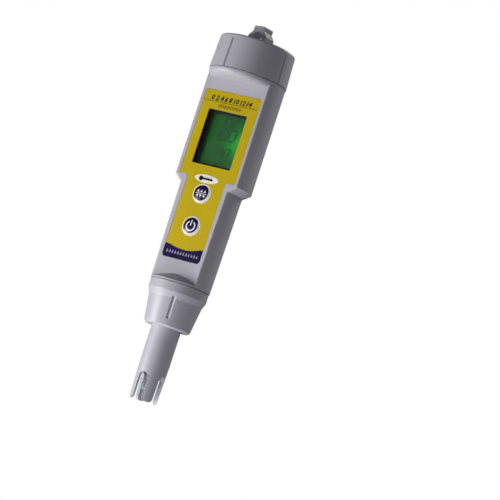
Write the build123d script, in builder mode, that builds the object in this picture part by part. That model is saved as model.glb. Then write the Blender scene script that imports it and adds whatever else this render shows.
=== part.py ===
from build123d import *
import os
from math import acos, cos, degrees, radians, sin, sqrt

# A pocket water tester: round body with a flat front, a screwed battery cap with a lanyard eye
# on top and a screwed collar at the bottom that holds a plug-in electrode.
# Millimetres, +Z up, front towards -Y, origin at the centre of the lanyard eye.

# Lengths along the axis, from the eye down to the tip
eye_above_cap = 3.1
cap_height = 16.8
body_length = 102.8
collar_length = 20.9
electrode_reach = 35.6
joint_gap = 0.3  # shadow gap above and below the body

# Body
upper_r = 18.75
lower_r = 15.1
body_end_r = 14.4
flat_depth = 7.55  # from the axis to the flat front
body_wall = 2.2
face_wall = 2.2
edge_round = 0.9
shoulder_drop = 52.4  # from the cap joint to the start of the shoulder
shoulder_height = 3.1
top_ledge_drop = 3.45
top_rim = 0.4
bottom_rim = 0.7
bottom_ledge_slope = 0.52
end_wall = 4.3
nose_length = 9.2
nose_wall = 2.0
nose_floor_ledge = 1.4  # round the hole that the leads pass

# Label and its recess in the face
label_inset = 1.8  # from the side edges of the flat
label_top_drop = 9.5
label_step_drop = 51.5
label_bottom_drop = 91.7
label_corner = 1.8
label_step_corner = 0.9
label_thickness = 0.3
label_recess = 0.35
label_gap = 0.12

# Display
window_half = 10.5
window_height = 26.7
window_below_board = 2.6  # from the board's top edge to the window's
window_corner = 0.5
window_proud = 0.05  # above the label
window_gap = 0.1
bezel_rim = 0.75
bezel_border = 1.4
bezel_depth = 1.7
lcd_thickness = 2.0
lcd_ledge = 1.8  # glass ledge above and below the light guide
backlight_thickness = 1.8
strip_width = 1.2

# Circuit board
board_thickness = 1.6
board_gap = 0.2
board_side_gap = 3.0  # from the body's inner wall
board_headroom = 2.75  # below the battery pocket
board_bottom_drop = 96.3
rail_gap = 0.12
rail_thickness = 1.1
rail_overlap = 1.3
led_size = 1.6
chip_size = 7.0
chip_thickness = 1.2
crystal_r = 1.0
crystal_length = 6.0
crystal_round = 0.35
amplifier_size = 4.0
chip_standoff = 0.15
chip_leg_count = 6
chip_leg_pitch = 1.0
chip_leg_reach = 0.7
chip_leg_width = 0.3
passive_count = 5
passive_pitch = 2.2
passive_length = 2.0
passive_width = 1.0

# Buttons
mode_button_drop = 59.2
power_button_drop = 75.2
button_r = 4.05
button_clearance = 0.1
button_proud = 0.2
button_dome = 0.5
button_flange_r = 5.0
button_flange = 0.8
button_travel = 0.5
stop_gap = 0.1
stub_r = 1.6
boot_wall = 0.8
boot_skin = 0.35
boot_clearance = 0.3
switch_size = 6.0
switch_height = 3.0
plunger_r = 1.6
plunger_height = 0.3

# Battery holder and cells
holder_gap = 0.16
holder_flange = 1.0
holder_skirt = 8.5
holder_wall = 1.5
spigot_height = 9.5
spigot_web = 1.6
cell_r = 5.8
cell_height = 5.4
cell_step = 1.4  # the small cap is this much narrower than the cell
cell_rim = 0.5
cell_count = 4
cell_gap = 0.05
cell_proud = 0.5
cell_clearance = 0.15
pocket_back = 2.9  # the pocket's axis lies behind the body's axis
pocket_wall = 1.4
pocket_floor = 1.4
contact_thickness = 0.3
contact_width = 2.4
contact_clearance = 0.1
contact_lap = 2.2
strip_inset = 3.8  # from the spigot's inner wall
seal_section_r = 0.6
seal_height = 2.1
seal_clearance = 0.05

# Battery cap
cap_overhang = 0.25  # wider than the body by this much
cap_draft = 0.65  # narrower at the top
cap_wall = 2.75
cap_edge = 1.1
cap_thread_gap = 0.35
cap_roof = 2.2
cap_roof_round = 1.2
cap_turn = -11.0  # where the thread stops, degrees
grip_count = 4
cap_groove_width = 1.2
cap_groove_depth = 0.6
cap_groove_top = 2.2
pivot_r = 1.5
pivot_clearance = 0.05
pivot_length = 3.0
pivot_chamfer = 0.4
hub_wall = 2.65
disc_side_gap = 3.65
disc_thickness = 0.4
disc_gap = 0.1

# Lanyard lug
eye_r = 3.0
lug_wall = 2.6  # each side of the eye
lug_depth = 6.0
lug_arm_z = 1.2  # where the arms start to slope in, from the eye's centre
lug_knob_width = 6.8
lug_over_eye = 3.0
lug_round = 0.7

# Collar
collar_inset = 0.3  # the band is narrower than the body's end
collar_band = 4.2
collar_shoulder = 3.0
collar_shoulder_round = 1.3
collar_step = 1.2
collar_draft = 1.7
collar_wall = 2.75
collar_chamfer = 0.8
collar_thread_gap = 0.35
collar_lip = 5.0
collar_neck_gap = 0.08
collar_turn = 26.0
collar_groove_width = 1.9
collar_groove_depth = 0.7
collar_groove_top = 6.2  # below the top of the collar
collar_groove_end = 3.7  # above its lower end

# Electrode
flange_gap = 0.3
neck_r = 7.1
seat_step = 0.5  # thicker inside the collar's lip
neck_length = 16.0  # straight stretch below the collar
guard_draft = 0.55
neck_wall = 1.8
slot_width = 4.8
slot_length = 13.2
slot_count = 4
leg_round = 1.9
seal_thickness = 1.2
seal_gap = 0.1
plug_rise = 2.0
plug_clearance = 0.3
plug_depth = 4.4
pin_r = 0.5
pin_inset = 1.3  # from the bore's wall to the pins' ring
pin_count = 4
pin_length = 5.8
pin_chamfer = 0.15
pin_clearance = 0.06
socket_clearance = 0.12
socket_height = 6.5
socket_gap = 0.2
lead_pitch = 2.54
lead_width = 0.6
potting = 3.0
potting_clearance = 0.03
potting_gap = 0.2
bulb_r = 3.0
bulb_above_tip = 4.6
bulb_wall = 0.4
stem_r = 2.0
stem_gap = 0.3
bulb_neck_round = 0.8
probe_r = 0.85
probe_side_gap = 0.2
probe_tip_round = 0.75
probe_above_tip = 3.6
probe_length = 24.0
junction_r = 0.6
junction_side_gap = 0.7
junction_proud = 0.8
wire_r = 0.35
wire_side_gap = 1.35
wire_bearing = 135.0
junction_bearing = 225.0
probe_bearing = -45.0

# Radii and half widths worked out from the ones they fit
cap_base_r = upper_r + cap_overhang
cap_top_r = cap_base_r - cap_draft
cap_bore_r = cap_base_r - cap_wall
spigot_r = cap_bore_r - cap_thread_gap
collar_band_r = body_end_r - collar_inset
collar_seat_r = collar_band_r - collar_step
collar_end_r = collar_seat_r - collar_draft
collar_bore_r = collar_seat_r - collar_wall
nose_r = collar_bore_r - collar_thread_gap
nose_bore_r = nose_r - nose_wall
flange_r = collar_bore_r - flange_gap
seat_r = neck_r + seat_step
bore_r = neck_r - neck_wall
pin_ring = bore_r - pin_inset
probe_ring = bore_r - probe_side_gap - probe_r
junction_ring = bore_r - junction_side_gap - junction_r
wire_ring = bore_r - wire_side_gap - wire_r
cell_button_r = cell_r - cell_step
lug_width = 2 * (eye_r + lug_wall)

# Heights worked out from the lengths
cap_top_z = -eye_above_cap
joint_z = cap_top_z - cap_height
body_end_z = joint_z - body_length
collar_end_z = body_end_z - collar_length
tip_z = collar_end_z - electrode_reach
shoulder_top_z = joint_z - shoulder_drop
shoulder_bottom_z = shoulder_top_z - shoulder_height
top_ledge_z = joint_z - top_ledge_drop
cavity_end_z = body_end_z + end_wall
nose_end_z = body_end_z - nose_length
label_top_z = joint_z - label_top_drop
label_step_z = joint_z - label_step_drop
label_bottom_z = joint_z - label_bottom_drop
spigot_top_z = joint_z + spigot_height
stack_top_z = spigot_top_z + cell_proud
stack_bottom_z = stack_top_z - cell_count * cell_height - (cell_count - 1) * cell_gap
pocket_floor_z = stack_bottom_z - contact_thickness
board_top_z = pocket_floor_z - pocket_floor - board_headroom
window_mid_z = board_top_z - window_below_board - window_height / 2
board_bottom_z = joint_z - board_bottom_drop
button_heights = {"mode": joint_z - mode_button_drop, "power": joint_z - power_button_drop}
lug_top = eye_r + lug_over_eye

# Depths worked out from the flat front, towards +Y
flat_y = -flat_depth
face_back_y = flat_y + face_wall
label_front_y = flat_y + label_recess - label_thickness
recess_y = flat_y + label_recess
window_front_y = label_front_y - window_proud
bezel_back_y = face_back_y + bezel_depth
lcd_back_y = bezel_back_y + lcd_thickness
light_back_y = lcd_back_y + backlight_thickness
board_front_y = light_back_y + board_gap
board_back_y = board_front_y + board_thickness

front = Plane(origin=(0, flat_y, 0), x_dir=(1, 0, 0), z_dir=(0, -1, 0))
inward = (0, 1, 0)
cut_margin = 2.0
hair = 0.001  # width of a selection


def front_plane(depth_y):
    """A plane parallel to the flat front at the given depth, its normal facing out."""
    return Plane(origin=(0, depth_y, 0), x_dir=(1, 0, 0), z_dir=(0, -1, 0))


def wall_x(radius, depth):
    """How far to the side a round wall lies at a given depth."""
    return sqrt(radius ** 2 - depth ** 2)


def label_outline(depth_y, grow):
    """The label's stepped outline, grown all round."""
    upper = wall_x(upper_r, flat_depth) - label_inset + grow
    lower = wall_x(body_end_r, flat_depth) - label_inset + grow
    top, step, bottom = label_top_z + grow, label_step_z - grow, label_bottom_z - grow
    with BuildSketch(front_plane(depth_y)) as outline:
        with BuildLine():
            Polyline((-upper, top), (upper, top), (upper, step), (lower, step), (lower, bottom),
                     (-lower, bottom), (-lower, step), (-upper, step), close=True)
        make_face()
        rows = outline.vertices().group_by(Axis.Y)
        fillet(list(rows[0]) + list(rows[-1]), radius=label_corner)
        fillet(outline.vertices().filter_by_position(Axis.Y, step - hair, step + hair),
               radius=label_step_corner)
    return outline.sketch


def window_outline(depth_y, grow):
    """The display opening's outline, grown all round."""
    with BuildSketch(front_plane(depth_y)) as outline:
        with Locations((0, window_mid_z)):
            RectangleRounded(2 * (window_half + grow), window_height + 2 * grow, window_corner)
    return outline.sketch


def around(ring, bearing):
    """A point on a circle round the axis, by its bearing from +X."""
    return ring * cos(radians(bearing)), ring * sin(radians(bearing))


def save(part, name):
    part.label = name
    export_step(part, f"parts/{name}.step")


os.makedirs("parts", exist_ok=True)

# Hollow of the body, with a flat side behind the face
cavity_upper_r = upper_r - body_wall
cavity_shoulder_r = lower_r - body_wall
cavity_end_r = body_end_r - body_wall
board_half_upper = wall_x(cavity_upper_r, board_back_y) - board_side_gap
board_half_lower = wall_x(cavity_end_r, board_back_y) - board_side_gap
mouth_depth = top_ledge_drop - face_wall
socket_bottom_z = nose_end_z - seal_gap - seal_thickness + plug_rise + socket_gap
socket_top_z = socket_bottom_z + socket_height
with BuildPart() as hollow:
    with BuildSketch(Plane.XZ):
        with BuildLine():
            Polyline((0, joint_z), (cavity_upper_r, joint_z), (cavity_upper_r, shoulder_top_z),
                     (cavity_shoulder_r, shoulder_bottom_z), (cavity_end_r, cavity_end_z),
                     (0, cavity_end_z), close=True)
        make_face()
    revolve(axis=Axis.Z)
    split(bisect_by=front_plane(face_back_y), keep=Keep.BOTTOM)
    with BuildSketch(Plane.XY.offset(joint_z)):
        Circle(cavity_upper_r)
    extrude(amount=-mouth_depth)
    with BuildSketch(Plane.XY.offset(nose_end_z)):
        Circle(nose_bore_r)
    extrude(amount=socket_top_z - nose_end_z)
    with BuildSketch(Plane.XY.offset(nose_end_z)):
        Circle(nose_bore_r - nose_floor_ledge)
    extrude(amount=cavity_end_z - nose_end_z)

# Main housing: turned outside with a flat front between two round rims, then the hollow, the
# label recess, the window, the button holes and the rails that hold the board
ledge_round = top_ledge_drop - top_rim
with BuildPart() as main_housing:
    with BuildSketch(Plane.XZ):
        with BuildLine():
            Polyline((0, joint_z), (upper_r, joint_z), (upper_r, shoulder_top_z),
                     (lower_r, shoulder_bottom_z), (body_end_r, body_end_z), (0, body_end_z),
                     close=True)
        make_face()
    revolve(axis=Axis.Z)
    split(bisect_by=front, keep=Keep.BOTTOM)
    flat_edges = main_housing.faces().filter_by(Plane.XZ).sort_by(Axis.Y)[0].edges()
    fillet(flat_edges.filter_by(lambda edge: abs(edge.center().X) > board_half_lower),
           radius=edge_round)
    with BuildSketch(Plane.XZ):
        with BuildLine():
            Line((upper_r - ledge_round, top_ledge_z), (0, top_ledge_z))
            CenterArc((upper_r - ledge_round, joint_z - top_rim), ledge_round, 270, 90)
            Polyline((upper_r, joint_z - top_rim), (upper_r, joint_z), (0, joint_z),
                     (0, top_ledge_z))
        make_face()
        with BuildLine():
            Polyline((0, body_end_z + bottom_rim + bottom_ledge_slope * body_end_r),
                     (body_end_r, body_end_z + bottom_rim), (body_end_r, body_end_z),
                     (nose_r, body_end_z), (nose_r, nose_end_z), (0, nose_end_z), close=True)
        make_face()
    revolve(axis=Axis.Z)
    add(hollow.part, mode=Mode.SUBTRACT)
    extrude(label_outline(flat_y, label_gap), amount=label_recess, dir=inward, mode=Mode.SUBTRACT)
    extrude(window_outline(flat_y, window_gap), amount=face_wall, dir=inward, mode=Mode.SUBTRACT)
    with BuildSketch(front):
        with Locations([(0, height) for height in button_heights.values()]):
            Circle(button_r + button_clearance)
    extrude(amount=-face_wall, mode=Mode.SUBTRACT)
    rail_rows = [(board_half_upper, cavity_upper_r, board_top_z, shoulder_top_z),
                 (board_half_lower, cavity_end_r, shoulder_bottom_z, cavity_end_z)]
    for half, radius, rail_top, rail_bottom in rail_rows:
        inner = half - rail_overlap
        outer = wall_x(radius, board_back_y + rail_thickness) + body_wall / 2
        for side in (-1, 1):
            for centre in (board_front_y - rail_gap - rail_thickness / 2,
                           board_back_y + rail_gap + rail_thickness / 2):
                with Locations((side * (inner + outer) / 2, centre, (rail_top + rail_bottom) / 2)):
                    Box(outer - inner, rail_thickness, rail_top - rail_bottom)
save(main_housing.part, "main_housing")

# Printed label that fills the recess
with BuildPart() as label_overlay:
    extrude(label_outline(label_front_y, 0), amount=label_thickness, dir=inward)
    extrude(window_outline(label_front_y, window_gap), amount=label_thickness, dir=inward,
            mode=Mode.SUBTRACT)
    with BuildSketch(front_plane(label_front_y)):
        with Locations([(0, height) for height in button_heights.values()]):
            Circle(button_r + button_clearance)
    extrude(amount=-label_thickness, mode=Mode.SUBTRACT)
save(label_overlay.part, "label_overlay")

# Clear window, cemented into the opening
with BuildPart() as display_window:
    extrude(window_outline(window_front_y, 0), amount=face_back_y - window_front_y, dir=inward)
    chamfer(display_window.faces().sort_by(Axis.Y)[0].edges(), length=window_proud)
save(display_window.part, "display_window")

# Black frame between the window and the display glass
bezel_half = window_half + bezel_border
bezel_height = window_height + 2 * bezel_border
with BuildPart() as display_bezel:
    with BuildSketch(front_plane(face_back_y)):
        with Locations((0, window_mid_z)):
            RectangleRounded(2 * bezel_half, bezel_height, window_corner)
            Rectangle(2 * (window_half - bezel_rim), window_height - 2 * bezel_rim,
                      mode=Mode.SUBTRACT)
    extrude(amount=-bezel_depth)
save(display_bezel.part, "display_bezel")

# Display glass: two plates, the front one shorter so the back one carries the contact ledges
lcd_half = bezel_half - bezel_rim
lcd_height = bezel_height
with BuildPart() as lcd_panel:
    with BuildSketch(front_plane(bezel_back_y)):
        with Locations((0, window_mid_z)):
            Rectangle(2 * lcd_half, lcd_height)
    extrude(amount=-lcd_thickness / 2)
    with BuildSketch(front_plane(bezel_back_y + lcd_thickness / 2)):
        with Locations((0, window_mid_z)):
            Rectangle(2 * lcd_half, lcd_height - lcd_ledge)
    extrude(amount=-lcd_thickness / 2)
save(lcd_panel.part, "lcd_panel")

# Light guide behind the glass
light_height = lcd_height - 2 * lcd_ledge - 2 * strip_width
with BuildPart() as lcd_backlight:
    with BuildSketch(front_plane(lcd_back_y)):
        with Locations((0, window_mid_z)):
            Rectangle(2 * lcd_half, light_height)
        with Locations((lcd_half - led_size / 2, window_mid_z)):
            Rectangle(led_size, 2 * led_size, mode=Mode.SUBTRACT)
    extrude(amount=-backlight_thickness)
save(lcd_backlight.part, "lcd_backlight")

# Light that shines into the guide from its right edge
with BuildPart() as backlight_led:
    with Locations((lcd_half - led_size / 2 + window_gap, (lcd_back_y + board_front_y) / 2,
                    window_mid_z)):
        Box(led_size - 2 * window_gap, board_front_y - lcd_back_y - 2 * window_gap,
            2 * led_size - 2 * window_gap)
save(backlight_led.part, "backlight_led")

# Rubber contact strips from the glass ledges to the board
strip_offset = light_height / 2 + strip_width
with BuildPart() as contact_strips:
    with Locations([(0, (lcd_back_y + board_front_y) / 2, window_mid_z + side * strip_offset)
                    for side in (-1, 1)]):
        Box(2 * lcd_half - led_size, board_front_y - lcd_back_y, strip_width)
save(contact_strips.part, "contact_strips")

# Circuit board, wide behind the display and narrow below the shoulder
board_step_z = shoulder_top_z + body_wall
with BuildPart() as circuit_board:
    with BuildSketch(front_plane(board_front_y)) as board_shape:
        with BuildLine():
            Polyline((-board_half_upper, board_top_z), (board_half_upper, board_top_z),
                     (board_half_upper, board_step_z), (board_half_lower, board_step_z - body_wall),
                     (board_half_lower, board_bottom_z), (-board_half_lower, board_bottom_z),
                     (-board_half_lower, board_step_z - body_wall),
                     (-board_half_upper, board_step_z), close=True)
        make_face()
    extrude(amount=-board_thickness)
save(circuit_board.part, "circuit_board")

# Controller chip on the back of the board, with two rows of legs
with BuildPart() as controller_chip:
    with Locations((0, board_back_y + chip_standoff + chip_thickness / 2, window_mid_z)):
        Box(chip_size, chip_thickness, chip_size)
    leg_span = chip_size / 2 + chip_leg_reach
    for row in range(chip_leg_count):
        leg_z = window_mid_z + (row - (chip_leg_count - 1) / 2) * chip_leg_pitch
        for side in (-1, 1):
            with Locations((side * (leg_span + chip_size / 2 - chip_leg_width) / 2,
                            board_back_y + (chip_standoff + chip_leg_width) / 2, leg_z)):
                Box(chip_leg_reach + chip_leg_width, chip_standoff + chip_leg_width, chip_leg_width)
save(controller_chip.part, "controller_chip")

# Amplifier for the electrode's signal, near the lower end of the board
amplifier_z = (button_heights["mode"] + button_heights["power"]) / 2
with BuildPart() as amplifier_chip:
    with Locations((0, board_back_y + chip_thickness / 2, amplifier_z)):
        Box(amplifier_size, chip_thickness, amplifier_size)
    chamfer(amplifier_chip.faces().sort_by(Axis.Y)[-1].edges(), length=chip_leg_width)
save(amplifier_chip.part, "amplifier_chip")

# Clock crystal lying on the board
with BuildPart() as clock_crystal:
    with Locations((board_half_lower / 2, board_back_y + crystal_r, amplifier_z)):
        Cylinder(crystal_r, crystal_length)
    fillet(clock_crystal.edges(), radius=crystal_round)
save(clock_crystal.part, "clock_crystal")

# Small resistors and capacitors in two columns beside the amplifier
with BuildPart() as board_passives:
    for row in range(passive_count):
        passive_z = amplifier_z + (row - (passive_count - 1) / 2) * passive_pitch
        with Locations((-board_half_lower / 2, board_back_y + passive_width / 2, passive_z)):
            Box(passive_length, passive_width, passive_width)
save(board_passives.part, "board_passives")

# Buttons, the boots that keep water out and the switches on the board
crown_y = label_front_y - button_proud
flange_front_y = face_back_y + stop_gap
flange_back_y = flange_front_y + button_flange
stub_end_y = board_front_y - switch_height - plunger_height - button_travel - stop_gap
boot_back_y = flange_back_y + button_travel + stop_gap
boot_r = button_flange_r + boot_clearance + boot_wall
for name, height in button_heights.items():
    turning = Axis((0, 0, height), (0, 1, 0))
    with BuildPart() as button:
        with BuildSketch(Plane.XY.offset(height)):
            with BuildLine():
                TangentArc((0, crown_y - button_dome), (button_r, crown_y), tangent=(1, 0))
                Polyline((button_r, crown_y), (button_r, flange_front_y),
                         (button_flange_r, flange_front_y), (button_flange_r, flange_back_y),
                         (stub_r, flange_back_y), (stub_r, stub_end_y), (0, stub_end_y),
                         (0, crown_y - button_dome))
            make_face()
        revolve(axis=turning)
    save(button.part, f"{name}_button")
    with BuildPart() as boot:
        with BuildSketch(Plane.XY.offset(height)):
            with BuildLine():
                Polyline((boot_r, face_back_y), (boot_r, boot_back_y + boot_skin),
                         (stub_r + boot_clearance, boot_back_y + boot_skin),
                         (stub_r + boot_clearance, boot_back_y), (boot_r - boot_wall, boot_back_y),
                         (boot_r - boot_wall, face_back_y), close=True)
            make_face()
        revolve(axis=turning)
    save(boot.part, f"{name}_boot")
    with BuildPart() as switch:
        with Locations((0, board_front_y - switch_height / 2, height)):
            Box(switch_size, switch_height, switch_size)
        with BuildSketch(front_plane(board_front_y - switch_height)):
            with Locations((0, height)):
                Circle(plunger_r)
        extrude(amount=plunger_height)
    save(switch.part, f"{name}_switch")

# Battery holder: a plug in the body's mouth, the threaded spigot and the pocket for the cells
holder_r = cavity_upper_r - holder_gap
holder_inner_r = spigot_r - holder_wall
skirt_end_z = joint_z - holder_flange - holder_skirt
seal_r = cap_bore_r - seal_clearance - seal_section_r
seal_groove_r = seal_r - seal_section_r
pocket_axis = (0, pocket_back)
pocket_r = cell_r + cell_clearance
contact_slot = contact_width + 2 * contact_clearance, contact_thickness + 2 * contact_clearance
leg_y = board_back_y + contact_thickness / 2
strip_y = board_front_y - contact_thickness / 2
strip_side = holder_inner_r - strip_inset
with BuildPart() as battery_holder:
    with BuildSketch(Plane.XZ):
        with BuildLine():
            Polyline((0, spigot_top_z), (spigot_r, spigot_top_z),
                     (spigot_r, joint_z + seal_height + seal_section_r),
                     (seal_groove_r, joint_z + seal_height + seal_section_r),
                     (seal_groove_r, joint_z + seal_height - seal_section_r),
                     (spigot_r, joint_z + seal_height - seal_section_r),
                     (spigot_r, joint_z), (holder_r, joint_z), (holder_r, skirt_end_z),
                     (holder_r - holder_wall, skirt_end_z),
                     (holder_r - holder_wall, joint_z - holder_flange),
                     (holder_inner_r, joint_z - holder_flange),
                     (holder_inner_r, spigot_top_z - spigot_web), (0, spigot_top_z - spigot_web),
                     close=True)
        make_face()
    revolve(axis=Axis.Z)
    with BuildSketch(Plane.XY.offset(joint_z - holder_flange)):
        with Locations((0, face_back_y + holder_gap - upper_r)):
            Rectangle(2 * upper_r, 2 * upper_r)
    extrude(amount=-holder_skirt - cut_margin, mode=Mode.SUBTRACT)
    with BuildSketch(Plane.XY.offset(spigot_top_z)):
        with Locations(pocket_axis):
            Circle(pocket_r + pocket_wall)
    extrude(amount=pocket_floor_z - pocket_floor - spigot_top_z)
    with BuildSketch(Plane.XY.offset(spigot_top_z)):
        with Locations(pocket_axis):
            Circle(pocket_r)
    extrude(amount=pocket_floor_z - spigot_top_z, mode=Mode.SUBTRACT)
    with BuildSketch(Plane.XY.offset(pocket_floor_z)):
        with Locations((0, leg_y)):
            Rectangle(*contact_slot)
    extrude(amount=-pocket_floor, mode=Mode.SUBTRACT)
    with BuildSketch(Plane.XY.offset(spigot_top_z)):
        with Locations((strip_side, strip_y)):
            Rectangle(*contact_slot)
    extrude(amount=-spigot_web, mode=Mode.SUBTRACT)
save(battery_holder.part, "battery_holder")

# Four button cells in one stack, the small cap of each pointing down
with BuildPart() as battery_cells:
    with BuildSketch(Plane.XZ):
        for index in range(cell_count):
            base_z = stack_bottom_z + index * (cell_height + cell_gap)
            with BuildLine():
                Polyline((0, base_z), (cell_button_r, base_z), (cell_button_r, base_z + cell_rim),
                         (cell_r - cell_rim, base_z + cell_rim), (cell_r, base_z + 2 * cell_rim),
                         (cell_r, base_z + cell_height), (0, base_z + cell_height), close=True)
            make_face()
    revolve(axis=Axis.Z)
save(battery_cells.part.moved(Location((0, pocket_back, 0))), "battery_cells")

# Spring contact under the stack, its leg soldered to the back of the board
with BuildPart() as negative_contact:
    with Locations((0, pocket_back, pocket_floor_z + contact_thickness / 2)):
        Cylinder(cell_button_r - cell_rim, contact_thickness)
    leg_end_z = board_top_z - contact_lap
    with Locations((0, leg_y, (pocket_floor_z + leg_end_z) / 2)):
        Box(contact_width, contact_thickness, pocket_floor_z - leg_end_z)
save(negative_contact.part, "negative_contact")

# Strip from the front of the board up to a tab on the spigot, under the cap's contact disc
with BuildPart() as positive_contact:
    with Locations((strip_side, strip_y, (stack_top_z + leg_end_z) / 2)):
        Box(contact_width, contact_thickness, stack_top_z - leg_end_z)
    with Locations((strip_side, strip_y - contact_lap / 2, (stack_top_z + spigot_top_z) / 2)):
        Box(contact_width, contact_lap, cell_proud)
save(positive_contact.part, "positive_contact")

# Ring seal in the groove at the foot of the spigot
with BuildPart() as cap_seal:
    with BuildSketch(Plane.XZ):
        with Locations((seal_r, joint_z + seal_height)):
            Circle(seal_section_r)
    revolve(axis=Axis.Z)
save(cap_seal.part, "cap_seal")

# Contact disc that rides in the cap on a pivot and bridges the top cell and the strip's tab
disc_bottom_z = stack_top_z + disc_gap
disc_top_z = disc_bottom_z + disc_thickness
hub_bottom_z = disc_top_z + disc_gap
pivot_top_z = disc_top_z + pivot_length
with BuildPart() as cap_contact:
    with BuildSketch(Plane.XY.offset(disc_bottom_z)):
        Circle(cap_bore_r - disc_side_gap)
    extrude(amount=disc_thickness)
    with BuildSketch(Plane.XY.offset(disc_top_z)):
        Circle(pivot_r)
    extrude(amount=pivot_length)
    chamfer(cap_contact.faces().sort_by(Axis.Z)[-1].edges(), length=pivot_chamfer)
save(cap_contact.part, "cap_contact")

# Battery cap with its grip grooves, hub and lanyard lug
cap_bottom_z = joint_z + joint_gap
cap_roof_z = cap_top_z - cap_roof
lug_plane = Plane(origin=(0, 0, 0), x_dir=(cos(radians(cap_turn)), sin(radians(cap_turn)), 0),
                  z_dir=(sin(radians(cap_turn)), -cos(radians(cap_turn)), 0))
cap_taper = cap_draft / (cap_top_z - cap_bottom_z)
hub_bore_r = pivot_r + pivot_clearance
hub_r = hub_bore_r + hub_wall
with BuildPart() as cap_groove:
    with BuildSketch(Plane.XY.offset(cap_bottom_z)):
        with BuildLine():
            Polyline((0, cap_groove_depth - cap_base_r),
                     (cap_groove_width, -cap_base_r - cap_groove_depth),
                     (-cap_groove_width, -cap_base_r - cap_groove_depth), close=True)
        make_face()
    extrude(amount=cap_top_z - cap_groove_top - cap_bottom_z, dir=(0, cap_taper, 1))
with BuildPart() as battery_cap:
    with BuildSketch(Plane.XZ) as cap_profile:
        with BuildLine():
            Polyline((0, cap_top_z), (cap_top_r, cap_top_z), (cap_base_r, cap_bottom_z),
                     (cap_bore_r, cap_bottom_z), (cap_bore_r, cap_roof_z), (hub_r, cap_roof_z),
                     (hub_r, hub_bottom_z), (hub_bore_r, hub_bottom_z),
                     (hub_bore_r, pivot_top_z + pivot_clearance),
                     (0, pivot_top_z + pivot_clearance), close=True)
        make_face()
        fillet(cap_profile.vertices().group_by(Axis.Y)[-1].sort_by(Axis.X)[-1], radius=cap_edge)
        roof_corners = cap_profile.vertices().filter_by_position(Axis.Y, cap_roof_z - hair,
                                                                 cap_roof_z + hair)
        fillet(roof_corners.sort_by(Axis.X)[-1], radius=cap_roof_round)
    revolve(axis=Axis.Z)
    with PolarLocations(0, grip_count, start_angle=cap_turn):
        add(cap_groove.part, mode=Mode.SUBTRACT)
    with BuildSketch(lug_plane) as lug_profile:
        with BuildLine():
            Polyline((-lug_width / 2, cap_top_z - cap_roof / 2), (-lug_width / 2, lug_arm_z),
                     (-lug_knob_width / 2, lug_arm_z + (lug_width - lug_knob_width) / 2),
                     (-lug_knob_width / 2, lug_top), (lug_knob_width / 2, lug_top),
                     (lug_knob_width / 2, lug_arm_z + (lug_width - lug_knob_width) / 2),
                     (lug_width / 2, lug_arm_z), (lug_width / 2, cap_top_z - cap_roof / 2),
                     close=True)
        make_face()
        fillet(lug_profile.vertices().filter_by_position(Axis.Y, cap_top_z, lug_top + hair),
               radius=lug_round)
    extrude(amount=lug_depth / 2, both=True)
    with BuildSketch(lug_plane):
        Circle(eye_r)
    extrude(amount=lug_depth, both=True, mode=Mode.SUBTRACT)
save(battery_cap.part, "battery_cap")

# Electrode, from its flange under the nose down to the four legs of the guard
seal_top_z = nose_end_z - seal_gap
flange_top_z = seal_top_z - seal_thickness
flange_bottom_z = collar_end_z + collar_lip + seal_gap
plug_boss_r = nose_bore_r - plug_clearance
slot_top_z = tip_z + slot_length
with BuildPart() as guard_slot:
    with BuildSketch(Plane.XZ) as slot_shape:
        with Locations((0, tip_z - neck_r / 2)):
            Rectangle(2 * neck_r, neck_r)
        with Locations((0, (tip_z + slot_top_z - slot_width / 2) / 2)):
            Rectangle(slot_width, slot_length - slot_width / 2)
        with Locations((0, slot_top_z - slot_width / 2)):
            Circle(slot_width / 2)
        mouth_corners = slot_shape.vertices().filter_by_position(Axis.Y, tip_z - hair, tip_z + hair)
        fillet(mouth_corners.filter_by_position(Axis.X, -slot_width, slot_width), radius=leg_round)
    extrude(amount=2 * neck_r)
with BuildPart() as electrode_body:
    with BuildSketch(Plane.XZ):
        with BuildLine():
            Polyline((bore_r, flange_top_z), (flange_r, flange_top_z), (flange_r, flange_bottom_z),
                     (seat_r, flange_bottom_z), (seat_r, collar_end_z + seal_gap),
                     (neck_r, collar_end_z + seal_gap), (neck_r, collar_end_z - neck_length),
                     (neck_r - guard_draft, tip_z), (bore_r, tip_z), close=True)
        make_face()
    revolve(axis=Axis.Z)
    with PolarLocations(0, slot_count):
        add(guard_slot.part, mode=Mode.SUBTRACT)
save(electrode_body.part, "electrode_body")

# Flat seal between the nose and the electrode's flange
with BuildPart() as electrode_seal:
    with BuildSketch(Plane.XY.offset(flange_top_z)):
        Circle(nose_r)
        Circle(plug_boss_r, mode=Mode.SUBTRACT)
    extrude(amount=seal_thickness)
save(electrode_seal.part, "electrode_seal")

# Plug that closes the electrode, its pins, and the socket in the nose
plug_top_z = flange_top_z + plug_rise
plug_bottom_z = flange_top_z - plug_depth
pin_top_z = plug_top_z + pin_length
with BuildPart() as electrode_plug:
    with BuildSketch(Plane.XY.offset(plug_bottom_z)):
        Circle(bore_r - potting_clearance)
        with PolarLocations(pin_ring, pin_count):
            Circle(pin_r + potting_clearance, mode=Mode.SUBTRACT)
    extrude(amount=plug_depth)
    with BuildSketch(Plane.XY.offset(flange_top_z)):
        Circle(plug_boss_r)
        with PolarLocations(pin_ring, pin_count):
            Circle(pin_r + potting_clearance, mode=Mode.SUBTRACT)
    extrude(amount=plug_rise)
save(electrode_plug.part, "electrode_plug")

with BuildPart() as plug_pins:
    with BuildSketch(Plane.XY.offset(plug_bottom_z)):
        with PolarLocations(pin_ring, pin_count):
            Circle(pin_r)
    extrude(amount=pin_top_z - plug_bottom_z)
    chamfer(plug_pins.faces().group_by(Axis.Z)[-1].edges(), length=pin_chamfer)
save(plug_pins.part, "plug_pins")

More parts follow.
